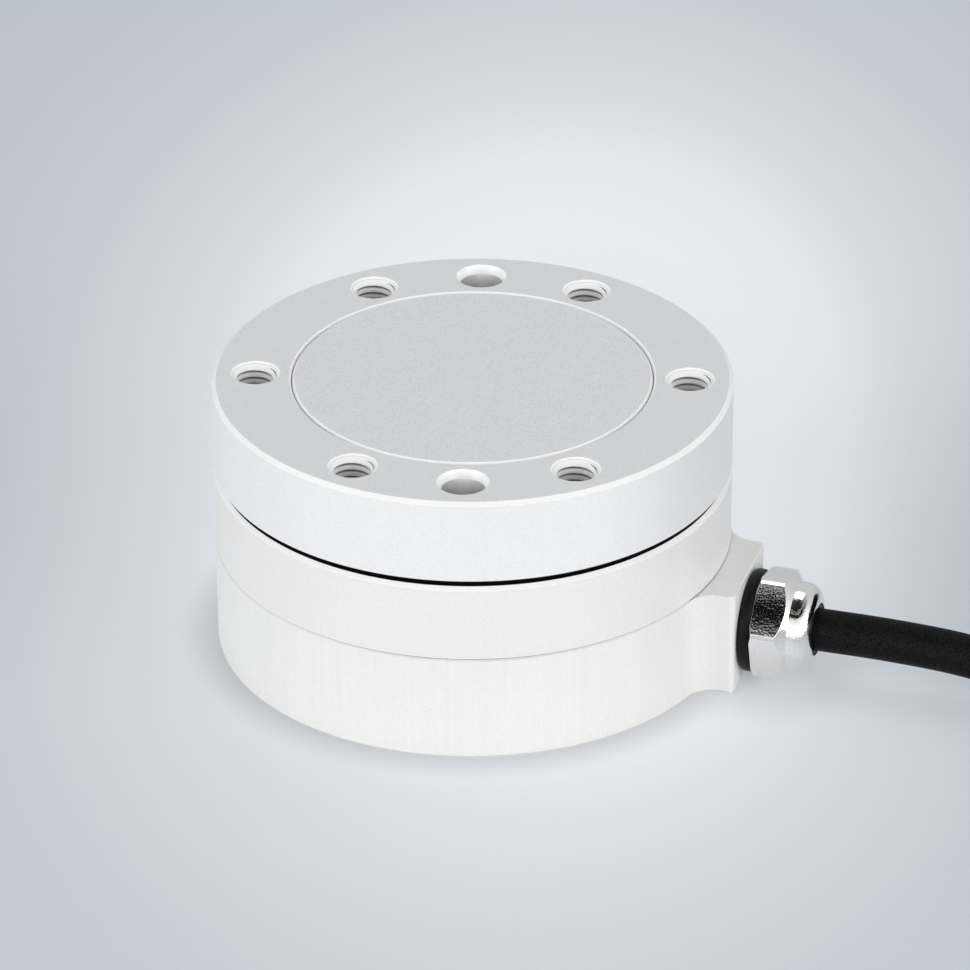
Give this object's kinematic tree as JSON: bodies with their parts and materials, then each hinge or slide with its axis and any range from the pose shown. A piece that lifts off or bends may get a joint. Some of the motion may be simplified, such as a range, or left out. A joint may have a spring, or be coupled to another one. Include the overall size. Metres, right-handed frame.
{
  "type": "force torque sensor",
  "caption": "Round miniature multi-axis force torque sensor: tool flange over a sensing body and base, tapped and dowelled on both faces, with a side cable gland, cable and round connector.",
  "frame": {"origin": "centre of the base's flat underside, on the sensor's axis", "axes": "+Z along the sensor's axis out of the tool face, +X through one tapped hole of each pattern, cable outlet 15 degrees from +X towards -Y"},
  "size_m": [0.1234, 0.0564, 0.0199],
  "materials": {
    "flange_metal": "turned, bead blasted and clear anodised",
    "disc_metal": "bead blasted and clear anodised",
    "body_metal": "turned, bead blasted and clear anodised",
    "base_metal": "milled and turned, bead blasted and clear anodised",
    "screw_steel": "black oxide",
    "pin_steel": "ground",
    "gauge_film": "polyimide film",
    "enamel_wire": "enamelled copper",
    "black_rubber": "matt",
    "board_laminate": "solder mask",
    "chip_plastic": "moulded",
    "capacitor_ceramic": "ceramic",
    "connector_plastic": "moulded",
    "wire_insulation": "extruded",
    "cable_jacket": "matt extruded jacket",
    "nickel_brass": "nickel plated",
    "nut_chrome": "polished plating",
    "tie_band": "woven hook and loop band",
    "plug_nickel": "satin nickel plating",
    "insert_plastic": "moulded",
    "gold_plate": "gold plated"
  },
  "bodies": {
    "root": {"tool_flange": "flange_metal", "cover_disc": "disc_metal", "hub_screws": "screw_steel", "sensing_body": "body_metal", "strain_gauges": "gauge_film", "gauge_wires": "enamel_wire", "dust_seal": "black_rubber", "base_housing": "base_metal", "housing_seal": "black_rubber", "locating_pins": "pin_steel", "body_screws": "screw_steel", "circuit_board": "board_laminate", "board_screws": "pin_steel", "processor_chip": "chip_plastic", "converter_chips": "chip_plastic", "crystal_can": "pin_steel", "chip_capacitors": "capacitor_ceramic", "board_connector": "connector_plastic", "signal_wires": "wire_insulation", "cable_tail": "cable_jacket", "gland_body": "nickel_brass", "gland_ring": "black_rubber", "gland_insert": "black_rubber", "gland_nut": "nut_chrome", "cable": "cable_jacket", "cable_end": "cable_jacket", "cable_coil": "cable_jacket", "coil_ties": "tie_band", "plug_boot": "black_rubber", "plug_shell": "plug_nickel", "plug_ring": "plug_nickel", "plug_insert": "insert_plastic", "plug_contacts": "gold_plate"}
  },
  "joints": []
}
